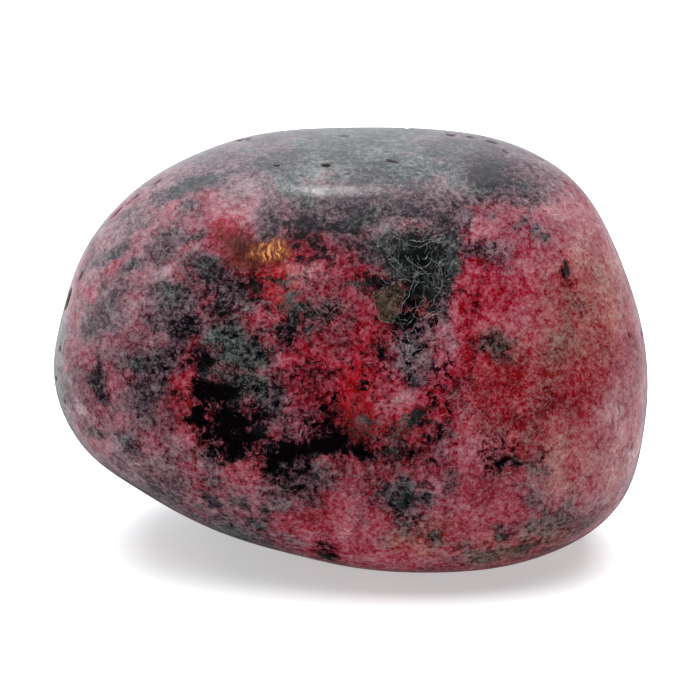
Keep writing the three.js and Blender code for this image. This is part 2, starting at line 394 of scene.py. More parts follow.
DUSTY = {
    "upper left flank": (112, 235, 9, 4, 0.8, 45),
    # Painted reflection: greyer low on the left rim.
    "left rim, low": (76, 400, 6, 3, 0.6, 90),
    "under the mid island": (165, 395, 5, 4, 0.5),
    "over the flakes": (206, 315, 3.4, 3, 0.6),
    "right of the hole": (276, 403, 3, 4, 0.7),
    "low rim": (275, 541, 6, 2.4, 0.8, -15),
    "foot": (415, 543, 6, 2.4, 0.4),
    "right, high": (564, 345, 5, 5, 0.9),
    "right dots": (528, 234, 6, 5, 0.6),
    "right of the crystal": (448, 325, 3.4, 6, 0.7),
    "middle": (344, 347, 3, 2.4, 1),
    "fibres": (475, 419, 3, 3, 0.5),
    "right, middle": (545, 375, 4.4, 4, 0.6),
    "left, high": (158, 252, 6, 3, 0.7, 10),
    "over the hook": (495, 428, 3.4, 3, 0.7),
    "low rim, right": (307, 541, 4, 2, 0.6),
    "mid island": (157, 346, 4, 3, 0.5),
    "low left, foot": (219, 510, 5, 3, 0.5, -20),
    "under the middle right": (484, 363, 3, 2.4, 0.5),
    "crest": (408, 188, 5, 2.4, 0.6),
    "left, between": (109, 357, 5, 4, 0.5, 90),
    "fibres, low": (537, 436, 3.4, 3, 0.5),
    "right of the amber": (306, 265, 3.4, 2.6, -1),
    "over the middle, low": (326, 311, 3, 2.4, -1),
    "middle, high": (361, 391, 4, 3.4, -2),
    "salmon, left": (259, 298, 3, 2.4, -0.8),
    "under the nest, low": (418, 382, 3, 2.4, -0.7),
    "upper left": (204, 196, 3, 2, -0.7),
    "bottom": (347, 516, 4, 3, -0.6),
    "right shoulder": (487, 201, 3.4, 2, -0.6),
    "left of the middle": (303, 400, 3, 3, 0.6),
    "red spot, right": (543, 392, 3, 3, 0.6),
    "bottom, left": (293, 506, 4, 2.4, 0.5),
    "red field, high": (509, 271, 3, 2.4, 0.5),
    "left of the flakes": (182, 350, 3, 2.4, 0.5),
    "rose over the middle": (353, 263, 3, 2.4, 0.5),
    "right of the nest": (470, 262, 3, 2.4, 0.5),
    "over the band": (280, 430, 3, 2, 0.5),
    "granular middle": (349, 366, 3, 2.4, 0.5),
    "brown middle": (561, 372, 3, 3, 0.4),
    "amber's shade": (258, 284, 3, 2, -0.7),
    "left of the amber": (211, 255, 3, 2, -0.7),
    "left of the hole": (196, 425, 2.4, 3, -0.7),
    "over the hole, left": (199, 383, 2.4, 2.4, -0.6),
    "low middle": (261, 496, 3, 2.4, -0.5),
    "rose over the middle, low": (323, 277, 3, 2, -0.5),
    "salmon": (288, 304, 3.4, 3, -2),
    "over the middle": (317, 293, 4, 2.4, -0.9),
    "left of the crystal": (363, 286, 3, 2.4, -2),
    "under the crystal": (384, 348, 3, 3, -2),
    "middle, low": (358, 419, 3.6, 3, -2.1),
    "red middle": (409, 420, 3.8, 3.2, -2.1),
    "dark red": (437, 434, 3, 3, -0.7),
    "under the hole": (262, 466, 3, 3, -0.7),
    "left half": (135, 360, 20, 34, 0.6),
    "low left": (200, 490, 14, 8, 0.7, -25),
    # Painted reflection: greyer along the low left rim.
    "low left rim": (110, 452, 12, 4, 0.7, -40),
    "low right": (560, 520, 12, 6, 0.25, 20),
    "top": (350, 165, 60, 10, 1.2),
    "top, back": (370, 138, 46, 14, 0.8),
    "top, rose": (322, 169, 4.4, 2.6, -1),
    "top, rose, right": (456, 180, 4.4, 2.6, -0.9),
    "top, rose, high": (374, 146, 3.4, 2.4, -1),
    # Painted reflection: greyer along the right rim.
    "right rim": (624, 430, 16, 5, 0.3, 90),
    # Painted shade: greyer under the crest.
    "under the crest": (360, 215, 20, 6, 0.6),
    "right": (580, 400, 8, 10, 0.3),
    "under the nest": (411, 355, 5, 4, 0.7),
    "brown right": (582, 304, 7, 4.8, 0.5, 80),
    "sheen": (345, 194, 14, 2.4, 0.6),
}
CALM = {
    "right": (570, 400, 20, 34, 1),
    "upper right": (530, 225, 14, 10, 0.8),
    "red field": (490, 290, 9, 8, 0.8),
    "top": (350, 162, 60, 11, 1),
    "bottom": (320, 515, 14, 6, 0.5, -15),
}

# The two kinds of patch, by the name of the mineral or stain.
BODIES = {"black": BLACK, "dusk": DUSK, "flakes": FLAKES, "needles": NEEDLES, "amber": AMBER, "gold": GOLD}
STAINS = {"crimson": CRIMSON, "light": LIGHT, "voids": VOIDS, "brown": BROWN, "dusty": DUSTY, "calm": CALM}

# The olive crystal's corners in pixels, and how far behind them its face may lie.
OLIVE_CORNERS = ((371, 294), (380, 320), (392, 324), (400, 311), (406, 290), (397, 282))
OLIVE_DEPTH = 1

# Pits in the polish: place in pixels, then length, width and turn.
PITS = {
    "nose chip": (68, 299, 2.8, 0.52, 72),
    "nose crack": (81, 276, 1.4, 0.26, 62),
    "seam, low end": (117, 212, 2, 0.33, 45),
    "seam, low middle": (128, 203, 1, 0.26, 40),
    "seam, middle": (135, 197, 1.4, 0.33, 40),
    "seam, step": (150, 197, 1, 0.26, 38),
    "seam, high middle": (153, 187, 1.2, 0.26, 35),
    "seam, high end": (158, 181, 1.4, 0.33, 38),
    "left of the crest": (277, 165, 0.9, 0.39, 10),
    "crest": (326, 165, 1.1, 0.52, 0),
    "right of the crest": (393, 161, 1.6, 0.39, -8),
    "top rim, left": (239, 140, 1, 0.33, 8),
    "top rim, left, next": (248, 139, 0.8, 0.26, 8),
    "top rim, middle": (344, 136, 1.4, 0.26, 0),
    "top rim, red": (409, 128, 1.2, 0.33, -4),
    "top rim, middle right": (451, 135, 1.2, 0.33, -8),
    "top rim, next right": (470, 137, 1, 0.26, -10),
    "top rim, right": (492, 142, 1.4, 0.33, -15),
    "top rim, right, low": (506, 152, 0.9, 0.26, -25),
    "right shoulder, left": (531, 166, 1, 0.26, -20),
    "right shoulder": (566, 183, 0.8, 0.26, -40),
    "right shoulder, low": (566, 188, 0.7, 0.26, -30),
    "right slot": (567, 268, 2.2, 0.6, 105),
    "right rim, high": (619, 252, 1.2, 0.26, 120),
    "right rim, middle": (624, 317, 0.8, 0.26, 100),
    "right flank": (629, 336, 1, 0.26, 100),
    "right flank, edge": (642, 334, 1, 0.26, 95),
    "right flank, slit": (619, 407, 1.4, 0.25, 95),
    "right flank, slit, low": (613, 422, 1.8, 0.25, 80),
    "right flank, low": (632, 447, 1.4, 0.33, 75),
    "left rim, high": (60, 349, 0.7, 0.26, 80),
    "left rim, middle": (56, 379, 0.6, 0.33, 90),
    "left rim, low": (65, 401, 0.9, 0.26, 100),
}
PIT_DEPTH = 0.5  # as a share of the pit's width
PIT_FULLNESS = 0.6  # how bowl-like a pit is: less has steeper walls and a flatter floor
PIT_ROUNDS = 2  # times that the mesh is split finer around a pit
PIT_SPREAD = 1.1  # the finer mesh reaches this many half lengths from a pit's middle
PIT_MARGIN = 0.2  # and this much further

# Patches and pits on the far side are strewn by chance: how many, and their least and greatest length.
STREWN = {
    "black": (36, 1.5, 7.0),
    "dusk": (70, 1.5, 9.0),
    "flakes": (7, 3.0, 7.0),
    "needles": (8, 4.0, 8.0),
    "crimson": (16, 4.0, 11.0),
    "light": (12, 3.0, 9.0),
    "voids": (16, 5.0, 12.0),
    "brown": (8, 5.0, 12.0),
    "dusty": (12, 8.0, 20.0),
    "calm": (8, 10.0, 24.0),
    "pits": (34, 0.5, 1.8),
}
STREWN_SEED = 8
STREWN_SLIMMEST = 0.4  # a strewn patch's least width as a share of its length
STREWN_HOLD = (0.5, 1)  # the least and greatest hold of a strewn patch
STREWN_PIT_WIDEST = 0.7
FAR_SIDE = -0.12  # surface that faces the camera less than this is on the far side

# The noise that makes the edges of the patches ragged: its sizes, and how far each one moves an edge.
SHAKES = ((3.6, 1.0), (1.3, 0.7))
SHAKE_SEED = 7


def seen_ray(x, y):
    """The camera's place and the direction in which it sees a pixel, in millimetres."""
    camera = HEART + OUT * DISTANCE
    target = HEART + ACROSS * (x - PICTURE / 2) / PIXELS_PER_MM + UP * (PICTURE / 2 - y) / PIXELS_PER_MM
    direction = target - camera
    return camera, direction / np.linalg.norm(direction)


def geodesic(steps):
    """A ball of even triangles: its unit points and its triangles."""
    seed = bmesh.new()
    bmesh.ops.create_icosphere(seed, subdivisions=1, radius=1)
    corners = np.array([[vertex.co for vertex in face.verts] for face in seed.faces])
    seed.free()
    places = [(i, j) for i in range(steps + 1) for j in range(steps + 1 - i)]
    index = {place: n for n, place in enumerate(places)}
    shares = np.array([(steps - i - j, i, j) for i, j in places]) / steps
    upright = [(index[i, j], index[i + 1, j], index[i, j + 1]) for i, j in places if i + j < steps]
    turned = [
        (index[i + 1, j], index[i + 1, j + 1], index[i, j + 1]) for i, j in places if i + j < steps - 1
    ]
    triangles = np.array(upright + turned)
    points = np.einsum("kc,fcx->fkx", shares, corners)
    offsets = np.arange(len(corners))[:, None, None] * len(places)
    ball = bpy.data.meshes.new("ball")
    ball.from_pydata(points.reshape(-1, 3).tolist(), [], (triangles + offsets).reshape(-1, 3).tolist())
    grown = bmesh.new()
    grown.from_mesh(ball)
    bpy.data.meshes.remove(ball)
    bmesh.ops.remove_doubles(grown, verts=grown.verts, dist=SAME_POINT / steps)
    points, triangles = arrays_of(grown)
    return points / np.linalg.norm(points, axis=1, keepdims=True), triangles


def arrays_of(work):
    """A working mesh's points and triangles. The working mesh is freed."""
    points = np.array([vertex.co for vertex in work.verts])
    triangles = np.array([[vertex.index for vertex in face.verts] for face in work.faces])
    work.free()
    return points, triangles


def tree_of(points, triangles):
    """A tree that answers where a ray meets the mesh."""
    return BVHTree.FromPolygons(points.tolist(), triangles.tolist())


def skin_point(tree, way):
    """Where a ray from the heart leaves the mesh."""
    found = None
    while found is None:
        found = tree.ray_cast(Vector(HEART), way)[0]
        way = way + NUDGE
    return found


def smoothed(points, triangles, rounds):
    """The points after each has moved halfway to the middle of its neighbours, that many times."""
    ends = np.vstack([triangles[:, [0, 1]], triangles[:, [1, 2]], triangles[:, [2, 0]]])
    count = np.bincount(ends[:, 0], minlength=len(points))[:, None]
    for _ in range(rounds):
        sums = [np.bincount(ends[:, 0], points[ends[:, 1], axis], len(points)) for axis in range(3)]
        points = (points + np.stack(sums, 1) / count) / 2
    return points


def dense_stone(node):
    """A fine, smooth skin over a CAD node: its points in millimetres and its triangles."""
    cad = node.data
    corners = np.array([vertex.co for vertex in cad.vertices]) / MM
    cad_tree = tree_of(corners, np.array([face.vertices for face in cad.polygons]))
    directions, triangles = geodesic(STONE_STEPS)
    directions = directions * np.ptp(corners, axis=0)
    points = np.array([skin_point(cad_tree, Vector(way)) for way in directions])
    points = smoothed(points, triangles, SMOOTHING)
    points[:, 2] = np.maximum(points[:, 2], 0)
    return points, triangles


def refined(points, triangles, pits):
    """The mesh with its triangles split finer around the pits."""
    mesh = bpy.data.meshes.new("refined")
    mesh.from_pydata(points.tolist(), [], triangles.tolist())
    work = bmesh.new()
    work.from_mesh(mesh)
    bpy.data.meshes.remove(mesh)
    for _ in range(PIT_ROUNDS):
        middles = np.array([face.calc_center_median() for face in work.faces])
        close = np.zeros(len(middles), bool)
        for pit in pits:
            reach = pit.half_length * PIT_SPREAD + PIT_MARGIN
            close |= np.linalg.norm(middles - pit.centre, axis=1) < reach
        work.faces.ensure_lookup_table()
        work.edges.index_update()
        edges = {edge for n in np.flatnonzero(close) for edge in work.faces[n].edges}
        edges = sorted(edges, key=lambda edge: edge.index)
        bmesh.ops.subdivide_edges(work, edges=edges, cuts=1, use_grid_fill=True)
        bmesh.ops.triangulate(work, faces=work.faces)
    return arrays_of(work)


def normals_of(points, triangles):
    """The outward normal at each point."""
    a, b, c = (points[triangles[:, n]] for n in range(3))
    faces = np.cross(b - a, c - a)
    normals = np.zeros_like(points)
    for n in range(3):
        np.add.at(normals, triangles[:, n], faces)
    return normals / np.linalg.norm(normals, axis=1, keepdims=True)


class Spot:
    """An oval place on the stone with its own axes: along it, across it and out of the surface."""

    def __init__(self, centre, normal, along, aside, length, width, hold):
        self.centre = centre
        self.normal = normal
        self.along = along
        self.aside = aside
        self.half_length = length / 2
        self.half_width = width / 2
        self.hold = hold

    def distance(self, points):
        """How far points are from the middle: 1 on the spot's edge."""
        away = points - self.centre
        half_depth = max(self.half_length, self.half_width)
        return np.sqrt(
            (away @ self.along / self.half_length) ** 2
            + (away @ self.aside / self.half_width) ** 2
            + (away @ self.normal / half_depth) ** 2
        )


def seen_surface(stone_tree, x, y):
    """The point of the surface that the camera sees at a pixel, and the normal there."""
    found = None
    while found is None:
        camera, direction = seen_ray(x, y)
        found, normal, _, _ = stone_tree.ray_cast(Vector(camera), Vector(direction))
        x += math.copysign(1, PICTURE / 2 - x)  # a place just off the stone's edge slips inwards
    return np.array(found), np.array(normal)


def seen_spot(stone_tree, x, y, length, width, hold=1, turn=0):
    """A spot placed by a pixel of the photograph, on the surface that the camera sees there."""
    centre, normal = seen_surface(stone_tree, x, y)
    turn = math.radians(turn)
    along = ACROSS * math.cos(turn) + UP * math.sin(turn)
    aside = UP * math.cos(turn) - ACROSS * math.sin(turn)
    return Spot(centre, normal, along, aside, length, width, hold)


def strewn_spots(points, normals, chance, count, least, most):
    """Spots strewn by chance over the far side of the stone."""
    far = np.flatnonzero(normals @ OUT < FAR_SIDE)
    spots = []
    for n in chance.choice(far, count):
        along = np.cross(normals[n], chance.normal(size=3))
        along /= np.linalg.norm(along)
        length = least * (most / least) ** chance.random()
        width = length * chance.uniform(STREWN_SLIMMEST, 1)
        hold = chance.uniform(*STREWN_HOLD)
        spots.append(Spot(points[n], normals[n], along, np.cross(normals[n], along), length, width, hold))
    return spots


def roughened(points):
    """The points shaken by noise, so that patches measured from them get ragged edges."""
    noise.seed_set(SHAKE_SEED)
    shaken = points.copy()
    for size, reach in SHAKES:
        shaken += [np.array(noise.noise_vector(point / size)) * reach for point in map(Vector, points)]
    return shaken


def cover(points, spots):
    """A mineral's cover: above 0 inside its spots, 0 on their edges and below 0 outside, down to -1."""
    best = np.full(len(points), -1.0)
    for spot in spots:
        best = np.maximum(best, spot.hold * (1 - spot.distance(points)))
    return best


def tint(points, spots):
    """A soft stain: strongest in the middle of its spots, half as strong on their edges and 0 far away."""
    return sum(spot.hold / (1 + spot.distance(points) ** 4) for spot in spots)


def crystal_face(stone_tree, points, corners):
    """How far inside a straight-sided crystal each point is, in millimetres, and below 0 outside."""
    ring = [seen_surface(stone_tree, x, y)[0] for x, y in corners]
    deepest = min(corner @ OUT for corner in ring) - OLIVE_DEPTH
    inside = np.minimum(points @ OUT - deepest, OLIVE_DEPTH)
    for here, there in zip(ring, ring[1:] + ring[:1]):
        inwards = np.cross(OUT, there - here)
        inside = np.minimum(inside, (points - here) @ inwards / np.linalg.norm(inwards))
    return inside


def carve_pits(points, normals, pits):
    """Sinks each pit into the surface, and returns the points and how deep in a pit each one is."""
    sunk = np.zeros(len(points))
    for pit in pits:
        inside = np.clip(1 - pit.distance(points) ** 2, 0, 1) ** PIT_FULLNESS
        sunk = np.maximum(sunk, inside * pit.half_width * 2 * PIT_DEPTH)
    return points - normals * sunk[:, None], sunk


class Shader:
    """Adds nodes to one material or world, with sizes in millimetres."""

    def __init__(self, tree):
        self.tree = tree

    def put(self, value, socket):
        """Links a socket to a value that is worked out, or sets it to one that is the same all over."""
        if isinstance(value, bpy.types.NodeSocket):
            self.tree.links.new(value, socket)
        else:
            socket.default_value = value

    def node(self, kind, inputs=None, **settings):
        node = self.tree.nodes.new(kind)
        for name, value in settings.items():
            setattr(node, name, value)
        for name, value in (inputs or {}).items():
            self.put(value, node.inputs[name])
        return node

    def math(self, operation, a, b=0.0):
        return self.node("ShaderNodeMath", {0: a, 1: b}, operation=operation).outputs[0]

    def vector(self, operation, a, b=(0.0,) * 3, output=0):
        return self.node("ShaderNodeVectorMath", {0: a, 1: b}, operation=operation).outputs[output]

    def mix(self, factor, a, b):
        """Two colours mixed. The node's inputs 6 and 7 and its output 2 are its colours."""
        return self.node("ShaderNodeMix", {0: factor, 6: a, 7: b}, data_type="RGBA").outputs[2]

    def total(self, *parts):
        """The sum of several values."""
        whole = parts[0]
        for part in parts[1:]:
            whole = self.math("ADD", whole, part)
        return whole

    def product(self, *parts):
        """Several values multiplied together."""
        whole = parts[0]
        for part in parts[1:]:
            whole = self.math("MULTIPLY", whole, part)
        return whole

    def blend(self, base, shares, parts):
        """A base value plus a share of each named part."""
        return self.total(base, *(self.product(parts[name], share) for name, share in shares.items()))

    def flipped(self, value):
        """1 less a value."""
        return self.math("SUBTRACT", 1.0, value)

    def centred(self, value):
        """A noise value as a swing about zero."""
        return self.math("SUBTRACT", value, 0.5)

    def swing(self, value, share):
        """A noise value as a swing of that share about zero."""
        return self.product(self.centred(value), share)

    def rise(self, value, low, high):
        """A soft step from 0 at low to 1 at high."""
        inputs = {"Value": value, "From Min": low, "From Max": high}
        return self.node("ShaderNodeMapRange", inputs, interpolation_type="SMOOTHSTEP").outputs[0]

    def noise(self, place, size, octaves, rough, output="Fac"):
        inputs = {"Vector": place, "Scale": 1 / size, "Detail": octaves, "Roughness": rough}
        return self.node("ShaderNodeTexNoise", inputs).outputs[output]

    def cells(self, place, size):
        """Cells of that size. Each has a colour by chance, a middle and a distance from it."""
        return self.node("ShaderNodeTexVoronoi", {"Vector": place, "Scale": 1 / size}).outputs

    def chance(self, colour):
        """One of a random colour's channels."""
        return self.node("ShaderNodeSeparateColor", {0: colour}).outputs[0]

    def threads(self, place, normal, size, width):
        """Thin straight lines in the surface, one in each cell and each turned by chance."""
        cell = self.cells(place, size)
        away = self.vector("SUBTRACT", place, cell["Position"])
        turned = self.vector("SUBTRACT", cell["Color"], (0.5,) * 3)
        aside = self.vector("NORMALIZE", self.vector("CROSS_PRODUCT", normal, turned))
        off = self.math("ABSOLUTE", self.vector("DOT_PRODUCT", away, aside, 1))
        line = self.flipped(self.rise(off, width * THREAD_CORE, width))
        return self.product(line, self.rise(self.chance(cell["Color"]), *THREAD_STRENGTH))

    def tangle(self, place, normal, sizes):
        """Threads of several sizes and widths together."""
        whole = 0.0
        for size, width in sizes:
            whole = self.math("MAXIMUM", whole, self.threads(place, normal, size, width))
        return whole

    def ramp(self, value, stops):
        node = self.node("ShaderNodeValToRGB", {"Fac": value})
        while len(node.color_ramp.elements) < len(stops):
            node.color_ramp.elements.new(1)
        for element, (place, colour) in zip(node.color_ramp.elements, stops):
            element.position = place
            element.color = (*colour, 1)
        return node.outputs["Color"]

    def attribute(self, name):
        return self.node("ShaderNodeAttribute", attribute_name=name).outputs["Fac"]


def linear(red, green, blue):
    """A screen colour, from 0 to 255, as the shader's light values."""
    shares = (value / 255 for value in (red, green, blue))
    return tuple(((share + 0.055) / 1.055) ** 2.4 if share > 0.04 else share / 12.92 for share in shares)


# The stone's colours from dark to light: clear rose, purple dusk, and the greenish grey of its dark minerals.
ROSE_COLOURS = (
    (0.00, linear(5, 0, 3)),
    (0.10, linear(28, 4, 13)),
    (0.20, linear(66, 8, 24)),
    (0.30, linear(98, 8, 29)),
    (0.42, linear(124, 25, 46)),
    (0.55, linear(139, 51, 67)),
    (0.68, linear(150, 78, 89)),
    (0.82, linear(165, 107, 112)),
    (1.00, linear(205, 165, 160)),
)
DUSK_COLOURS = (
    (0.00, linear(4, 2, 4)),
    (0.12, linear(20, 8, 16)),
    (0.25, linear(46, 30, 39)),
    (0.40, linear(70, 53, 59)),
    (0.55, linear(95, 74, 80)),
    (0.70, linear(120, 97, 103)),
    (0.85, linear(146, 124, 127)),
    (1.00, linear(192, 175, 172)),
)
GREEN_COLOURS = (
    (0.00, linear(3, 4, 5)),
    (0.12, linear(15, 16, 18)),
    (0.25, linear(34, 37, 37)),
    (0.40, linear(57, 60, 60)),
    (0.55, linear(81, 84, 83)),
    (0.70, linear(107, 110, 107)),
    (0.85, linear(141, 142, 135)),
    (1.00, linear(192, 190, 176)),
)
AMBER_COLOURS = (
    (0.10, linear(44, 15, 10)),
    (0.40, linear(94, 46, 29)),
    (0.65, linear(140, 84, 46)),
    (0.90, linear(205, 140, 86)),
)
OLIVE_COLOURS = (
    (0.10, linear(22, 16, 12)),
    (0.45, linear(70, 56, 44)),
    (0.80, linear(112, 98, 80)),
)
NEEDLE_COLOUR = (*linear(138, 142, 138), 1)
# Pale specks: partly fine grains of the stone, partly painted glints that stand in for sparkles of light.
SPECK_AND_PAINTED_GLINT_COLOUR = (*linear(205, 200, 195), 1)
PIT_COLOUR = (*linear(40, 26, 26), 1)

# A stain's effect on the colour: the strengths between which it sets in, and what it makes of the light.
RUBY = (0.6, 3.0, (1.3, 0.2, 0.32))
BROWNING = (0.0, 1.0, (0.98, 1.1, 0.78))

# Noise is given by its size, its octaves and how strong its finest octaves are.
BEND_NOISE = (1.8, 3, 0.6)  # bends the grain
BEND = 1.6  # as far as this
MOTTLE_NOISE = (2.4, 6, 0.9)
CLOUD_NOISE = (4.5, 3, 0.6)
TINGE_NOISE = (3.6, 4, 0.65)
HOLLOW_NOISE = (0.9, 3, 0.7)
CORE_NOISE = (4.0, 3, 0.6)
FROST_NOISE = (0.6, 5, 0.95)
STREAK_NOISE = (0.24, 4, 0.7)
GLINT_NOISE = (0.9, 2, 0.6)
BUMP_NOISE = (0.4, 4, 0.6)

# Mottles are noise of one kind. Each has its own name and place, and this is how far apart they lie.
MOTTLES = ("grit", "fringe", "dusk", "halo", "speckle")
MOTTLE_SHIFT = (17.0, 5.0, -11.0)
TINGE_SHIFT = (50.0, 20.0, 70.0)

# Threads are given by the size of the cells that they lie in and by their width.
FIBRES = ((0.55, 0.04), (0.9, 0.045), (1.7, 0.045))
NEEDLE_WEB = ((3.4, 0.04), (0.9, 0.03), (1.2, 0.03), (1.8, 0.03), (2.6, 0.03))
THREAD_CORE = 0.25  # the full-strength share of a thread's width
THREAD_STRENGTH = (0.15, 1.0)  # the chances between which a thread appears and is at its strongest
CRYSTAL_SIZE = 3.2
CHIP_SIZE = 1.1

# A body's edge: the patches that it follows, the mottle that frays it and how far, and the covers at which it
# begins and is full.
EDGES = {
    "dusk": ("dusk", "dusk", 2.0, -0.6, 0.6),
    "black": ("black", "fringe", 5.0, -0.35, 0.6),
    "halo": ("black", "halo", 4.0, -1.0, 0.4),
    "flakes": ("flakes", "fringe", 2.0, -0.4, 0.4),
    "needles": ("needles", "halo", 4.0, -0.4, 0.4),
    "amber": ("amber", "halo", 1.4, -0.4, 0.4),
    "gold": ("gold", "grit", 2.0, -0.6, 0.6),
}
HOLLOW_EDGE = (0.52, 0.64)  # the noise at which a pore begins and is full

# A blend is a base value and the share of each part that is added to it. First, how lively the grain is.
UNREST = (0.62, {"voids": 0.32, "calm": -0.42})
EVENNESS = (1.0, {"calm": -0.4})

# The rock's tone, from 0 for black to 1 for the palest.
TONE = (0.59, {
    "light": 0.13, "crimson": -0.13, "black": -0.6, "halo": -0.2, "dusk": -0.2, "unrest": 1.0,
    "crystals": 0.16, "chips": 0.1, "clouds": 0.4, "voids": -0.05, "hollows": -0.4, "fibres": 0.14,
})

# How grey the rock is, from 0 for clear rose to 1 for dull, and where dull rock is green and not purple.
GREY = (0.2, {"dusty": 0.42, "dusk": 0.65, "crimson": -0.4, "voids": 0.15, "speckle": 0.9, "tinge": 1.8})
CORE_RAGGED = 3.0
CORE_EDGE = (0.1, 1.0)

# The tones of the minerals that lie in the rock.
FLAKE_TONE = (0.24, {"light": 0.16, "black": -0.25, "speckle": 2.2, "fibres": 0.22})
AMBER_TONE = (0.22, {"grit": 1.0, "gold": 0.38})
OLIVE_TONE = (0.26, {"grit": 2.8, "fibres": 0.3})

# The fine pale grain all through the stone: its light, its swing, and the tones and crimson that it shows in.
FROST = (0.22, 0.20, 0.20)
FROST_SWING = 3.1
FROST_TONES = (-0.1, 0.5)
FROST_CRIMSON = (4.0, 0.2)

# The amber's golden streaks are drawn out upwards and inwards, and are liveliest in the gold.
STREAK_STRETCH = (1, 0.2, 0.2)
STREAK_SWING = 3.0
STREAK_LIFE = (0.3, {"gold": 0.8})
AMBER_CLOUDED = 0.92  # the share of the rock under it that the amber hides

# The olive crystal's edge in millimetres inside its outline, how it is frayed, and its pale, broken rim.
OLIVE_RAGGED = 0.9
OLIVE_EDGE = (-0.2, 0.4)
OLIVE_RIM = (0.02, 0.12)
RIM_BROKEN = (0.45, 0.75)

NEEDLE_STRENGTH = 0.8
NEEDLE_BROKEN = (0.25, 0.5)
# Where the pale specks lie. Some are painted glints.
GLINT_CELLS = 0.6
GLINT_EDGE = (0.04, 0.1)  # as shares of a cell
GLINT_SPARSE = (0.56, 0.72)
PIT_EDGE = (0.02, 0.2)  # the depths at which a pit's colour begins and is full

# The polish.
ROUGHNESS = 0.22
ROUGHNESS_SWING = 0.5
REFRACTION = 1.73
BUMP_STRENGTH = 0.3
BUMP_HEIGHT = 0.02


class Grain:
    """The stone's places, and how much of each mineral, stain and noise there is at each one."""

    def __init__(self, shader):
        self.shader = shader
        self.normal = shader.node("ShaderNodeNewGeometry").outputs["Normal"]
        in_metres = shader.node("ShaderNodeTexCoord").outputs["Object"]
        self.place = shader.vector("MULTIPLY", in_metres, (1 / MM,) * 3)
        swirl = shader.vector("SUBTRACT", shader.noise(self.place, *BEND_NOISE, "Color"), (0.5,) * 3)
        self.bent = shader.vector("ADD", self.place, shader.vector("MULTIPLY", swirl, (BEND,) * 3))
        self.mottle = {name: self.mottle_noise(seed) for seed, name in enumerate(MOTTLES)}
        self.parts = {name: shader.attribute(name) for name in STAINS}
        self.parts["calm"] = shader.rise(self.parts["calm"], 0.0, 1.0)
        self.add_bodies()
        self.add_noise()

    def mottle_noise(self, seed):
        """Noise whose finest grain is nearly as strong as its broadest clouds."""
        shift = tuple(step * seed for step in MOTTLE_SHIFT)
        return self.shader.noise(self.shader.vector("ADD", self.bent, shift), *MOTTLE_NOISE)

    def add_bodies(self):
        """Frays the edges of the mineral bodies."""
        shader = self.shader
        for name, (patches, mottle, ragged, low, high) in EDGES.items():
            frayed = shader.total(shader.attribute(patches), shader.swing(self.mottle[mottle], ragged))
            self.parts[name] = shader.rise(frayed, low, high)

    def add_noise(self):
        """Adds what is strewn through all the rock."""
        shader, parts = self.shader, self.parts
        parts["grit"] = shader.centred(self.mottle["grit"])
        parts["speckle"] = shader.centred(self.mottle["speckle"])
        parts["unrest"] = shader.product(parts["grit"], shader.blend(*UNREST, parts))
        parts["fibres"] = shader.tangle(self.bent, self.normal, FIBRES)
        for name, size in (("crystals", CRYSTAL_SIZE), ("chips", CHIP_SIZE)):
            parts[name] = shader.centred(shader.chance(shader.cells(self.bent, size)["Color"]))
        evened = shader.blend(*EVENNESS, parts)
        clouds = shader.noise(self.bent, *CLOUD_NOISE)
        parts["clouds"] = shader.product(shader.centred(clouds), evened)
        tinge = shader.noise(shader.vector("ADD", self.bent, TINGE_SHIFT), *TINGE_NOISE)
        parts["tinge"] = shader.product(shader.centred(tinge), evened)
        pores = shader.rise(shader.noise(self.bent, *HOLLOW_NOISE), *HOLLOW_EDGE)
        parts["hollows"] = shader.product(pores, parts["voids"])


def stained(shader, colour, strength, low, high, effect):
    """A colour under a stain."""
    return shader.mix(shader.rise(strength, low, high), colour, shader.vector("MULTIPLY", colour, effect))


def rock_colour(shader, grain, tone):
    """The rock itself: rose, dulled to purple or green-grey, cleared to ruby and stained brown."""
    core = shader.swing(shader.noise(grain.place, *CORE_NOISE), CORE_RAGGED)
    green = shader.rise(shader.total(shader.attribute("dusk"), core), *CORE_EDGE)
    dull = shader.mix(green, shader.ramp(tone, DUSK_COLOURS), shader.ramp(tone, GREEN_COLOURS))
    grey = shader.blend(*GREY, grain.parts)
    colour = shader.mix(shader.rise(grey, 0.0, 1.0), shader.ramp(tone, ROSE_COLOURS), dull)
    colour = stained(shader, colour, grain.parts["crimson"], *RUBY)
    return stained(shader, colour, grain.parts["brown"], *BROWNING)


def with_flakes(shader, grain, colour):
    """Green-grey flakes."""
    tone = shader.blend(*FLAKE_TONE, grain.parts)
    return shader.mix(grain.parts["flakes"], colour, shader.ramp(tone, GREEN_COLOURS))


def with_frost(shader, grain, tone, colour):
    """Fine pale grain, except in the darkest and the clearest rock."""
    frosting = shader.product(
        shader.swing(shader.noise(grain.place, *FROST_NOISE), FROST_SWING),
        shader.rise(tone, *FROST_TONES),
        shader.rise(grain.parts["crimson"], *FROST_CRIMSON),
    )
    inputs = {0: frosting, 1: FROST, 2: colour}
    frosted = shader.node("ShaderNodeVectorMath", inputs, operation="MULTIPLY_ADD").outputs[0]
    return shader.vector("MAXIMUM", frosted)


def with_amber(shader, grain, colour):
    """The amber crystal, with golden streaks."""
    stretched = shader.vector("MULTIPLY", grain.bent, STREAK_STRETCH)
    streaks = shader.swing(shader.noise(stretched, *STREAK_NOISE), STREAK_SWING)
    lively = shader.product(streaks, shader.blend(*STREAK_LIFE, grain.parts))
    tone = shader.total(shader.blend(*AMBER_TONE, grain.parts), lively)
    clouded = shader.product(grain.parts["amber"], AMBER_CLOUDED)
    return shader.mix(clouded, colour, shader.ramp(tone, AMBER_COLOURS))


